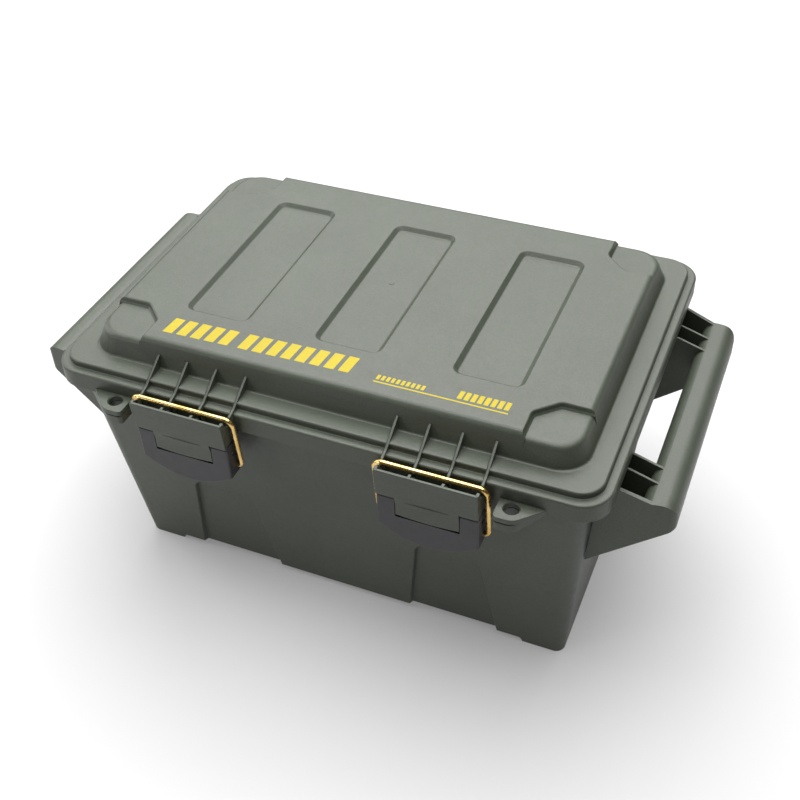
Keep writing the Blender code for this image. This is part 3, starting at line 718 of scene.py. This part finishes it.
def build_lever(label, dx):
    outline = plain(lever_foot(0.0)) + [(HALF_LATCH, 153.0, 0.0), (-HALF_LATCH, 153.0, 0.0)]
    edge = fillet([(0.0, -121.5, 0.0), (0.0, LEVER_FACE_Y, 1.3), (-3.0, LEVER_FACE_Y, 0.0)], False, 5)
    front = [(p.x, p.y) for p in edge]
    body = solid(f"lever_shell_{label}", moulded(outline, front, lambda u, v, w: (dx + u, w, v)))
    half = HALF_TONGUE + 0.45
    slot = boxy((dx - half, -145.0, 143.0), (dx + half, -110.0, 165.0), 0.05, 0.05)
    hollow = lever_foot(2.5)
    hollow += [(28.7, 134.5), (half, 134.5), (half, 147.0), (-half, 147.0), (-half, 134.5), (-28.7, 134.5)]
    pocket = [[(dx + u, y, v) for u, v in hollow] for y in (-132.5, -115.0)]
    top = [(-112.0, 141.0), (LEVER_AXIS[0] + SHOULDER_R, 141.0)]
    top += arc(LEVER_AXIS, SHOULDER_R, 0.0, 180.0, 36)
    top += [(-150.0, 145.0), (-150.0, 170.0), (-112.0, 170.0)]
    shoulder = [[(dx + x, y, z) for y, z in top] for x in (-40.0, 40.0)]
    bores = solid("cut_bores", pin_hole(LEVER_AXIS, LEVER_BORE_R, dx), pin_hole(BAIL_AXIS, BAIL_BORE_R, dx))
    return carve(
        body,
        ("DIFFERENCE", solid("cut_pocket", pocket)),
        ("DIFFERENCE", solid("cut_slot", slot)),
        ("DIFFERENCE", solid("cut_room", turned(lambda x: 10.0, half, dx, 2))),
        ("DIFFERENCE", solid("cut_shoulder", shoulder)),
        ("DIFFERENCE", bores),
    )


def build_bail(label, dx):
    """A bent wire loop: two feet that turn in the lever, two legs and the bar that holds the lid down."""
    foot = Vector((0.0, *BAIL_AXIS))
    top = Vector((0.0, *BAIL_BAR))
    up = (top - foot).normalized()
    out = Vector((1.0, 0.0, 0.0))
    height = (top - foot).length
    half = fillet([(26.5, 0.0, 0.0), (34.0, 0.0, 3.2), (34.0, height, 5.5), (0.0, height, 0.0)], False, 12)
    flat = [Vector((p.x, p.y)) for p in half]
    flat += [Vector((-p.x, p.y)) for p in reversed(half[:-1])]
    path = [foot + out * p.x + up * p.y + Vector((dx, 0.0, 0.0)) for p in flat]
    face = up.cross(out).normalized()
    rings = []
    for i, point in enumerate(path):
        along = (path[min(i + 1, len(path) - 1)] - path[max(i - 1, 0)]).normalized()
        side = along.cross(face)
        ring = []
        for k in range(24):
            a = math.radians(15.0 * k)
            ring.append(point + (face * math.cos(a) + side * math.sin(a)) * WIRE_R)
        rings.append(ring)
    # a short chamfer at both ends of the wire
    for end, inner, place in ((0, 1, 1), (-1, -2, len(rings))):
        rings[end] = [path[end] + (p - path[end]) * WIRE_TIP for p in rings[end]]
        shift = (path[inner] - path[end]).normalized() * 0.4
        full = [path[end] + (p - path[end]) / WIRE_TIP + shift for p in rings[end]]
        rings.insert(place, full)
    return solid(f"bail_wire_{label}", rings)


def build_pin(name, axis, radius, half, dx):
    """A round pin with 0.3 mm chamfers."""
    tip = radius - 0.3
    rings = []
    for x, r in ((-half, tip), (-half + 0.3, radius), (half - 0.3, radius), (half, tip)):
        rings.append([(dx + x, y, z) for y, z in arc(axis, r, 0.0, 348.75, 31)])
    return solid(name, rings)


# --- assembly -----------------------------------------------------------------------------------
piece(build_tub(), OLIVE, "base", ("tub",))
piece(build_gasket(), RUBBER, "base", ("gasket",))
piece(build_lid(), OLIVE, "lid_body", ("lid",))
piece(gate_mark(), OLIVE, "lid_body")
piece(stencil_bars(), PAINT, "lid_body")
for label, dx in LATCH_X.items():
    sign = -1 if label == "left" else 1
    piece(build_handle(label, sign), OLIVE, "base", (f"handle_{label}",))
    piece(build_mount(label, dx), OLIVE, "base", (f"latch_mount_{label}",))
    piece(build_lever(label, dx), BLACK, f"lever_{label}_body", (f"lever_{label}",))
    piece(build_bail(label, dx), ZINC, f"bail_{label}_body", (f"bail_{label}",))
    lever_rod = build_pin(f"lever_rod_{label}", LEVER_AXIS, LEVER_PIN_R, 30.6, dx)
    piece(lever_rod, STEEL, "base", (f"lever_pin_{label}",))
    hinge_rod = build_pin(f"hinge_rod_{label}", HINGE_AXIS, HINGE_PIN_R, 31.5, dx)
    piece(hinge_rod, STEEL, "base", (f"hinge_pin_{label}",))


# --- studio -------------------------------------------------------------------------------------
FLOOR_HALF = 2.4
FLOOR_GREY = (0.42, 0.42, 0.42, 1.0)
FLOOR_GLOW = 0.19
AIR_AS_LIGHT = 0.08
AIR_SEEN_EXTRA = 0.8
WHITE = (1.0, 1.0, 1.0, 1.0)


def make_floor():
    half = FLOOR_HALF
    square = ((-half, -half), (half, -half), (half, half), (-half, half))
    bm = bmesh.new()
    bm.faces.new([bm.verts.new((x, y, 0.0)) for x, y in square])
    mesh = bpy.data.meshes.new("studio_floor")
    bm.to_mesh(mesh)
    bm.free()
    mat, _, shader = nodes_of("pale_floor")
    shader.inputs["Base Color"].default_value = FLOOR_GREY
    shader.inputs["Roughness"].default_value = 0.9
    shader.inputs["Emission Color"].default_value = WHITE
    shader.inputs["Emission Strength"].default_value = FLOOR_GLOW
    mesh.materials.append(mat)
    floor = link("studio_floor", mesh)


def area_light(name, size, power, position, target):
    data = bpy.data.lights.new(name, "AREA")
    data.shape = "RECTANGLE"
    data.size = size[0]
    data.size_y = size[1]
    data.energy = power
    lamp = link(name, data)
    lamp.location = position
    aim = Vector(target) - Vector(position)
    lamp.rotation_euler = aim.to_track_quat("-Z", "Y").to_euler()


def make_air():
    """A faint white world as a light, shown brighter to the camera so that the background is pale."""
    world = bpy.data.worlds.new("studio_air")
    bpy.context.scene.world = world
    world.use_nodes = True
    tree = world.node_tree
    background = tree.nodes["Background"]
    background.inputs["Color"].default_value = WHITE
    ray_kind = tree.nodes.new("ShaderNodeLightPath")
    level = tree.nodes.new("ShaderNodeMath")
    level.operation = "MULTIPLY_ADD"
    tree.links.new(ray_kind.outputs["Is Camera Ray"], level.inputs[0])
    level.inputs[1].default_value = AIR_SEEN_EXTRA
    level.inputs[2].default_value = AIR_AS_LIGHT
    tree.links.new(level.outputs[0], background.inputs["Strength"])


make_floor()
make_air()
area_light("top_back_box", (2.2, 1.3), 27.0, (-0.45, 1.35, 1.30), (0.0, 0.0, 0.15))
area_light("overhead_box", (2.6, 2.6), 112.0, (0.0, 0.35, 2.1), (0.0, 0.1, 0.0))
area_light("left_box", (0.9, 1.0), 9.0, (-1.35, 0.0, 0.75), (0.0, 0.0, 0.1))
area_light("front_left_key", (0.35, 0.35), 3.5, (-1.0, -1.15, 0.5), (0.0, 0.0, 0.1))

CAMERA_AT = (0.2514, -0.5547, 0.6274)
CAMERA_RIGHT = (0.92365, 0.38221, -0.02794)
CAMERA_UP = (-0.23187, 0.61541, 0.75333)
CAMERA_BACK = (0.30513, -0.68934, 0.65705)
camera_data = bpy.data.cameras.new("photo_view")
camera_data.sensor_width = 36.0
camera_data.lens = 52.42
camera_data.clip_start = 0.01
camera = link("photo_view", camera_data)
turn = Matrix((CAMERA_RIGHT, CAMERA_UP, CAMERA_BACK)).transposed()
camera.matrix_world = Matrix.Translation(CAMERA_AT) @ turn.to_4x4()
bpy.context.scene.camera = camera
bpy.context.scene.view_settings.view_transform = "Standard"
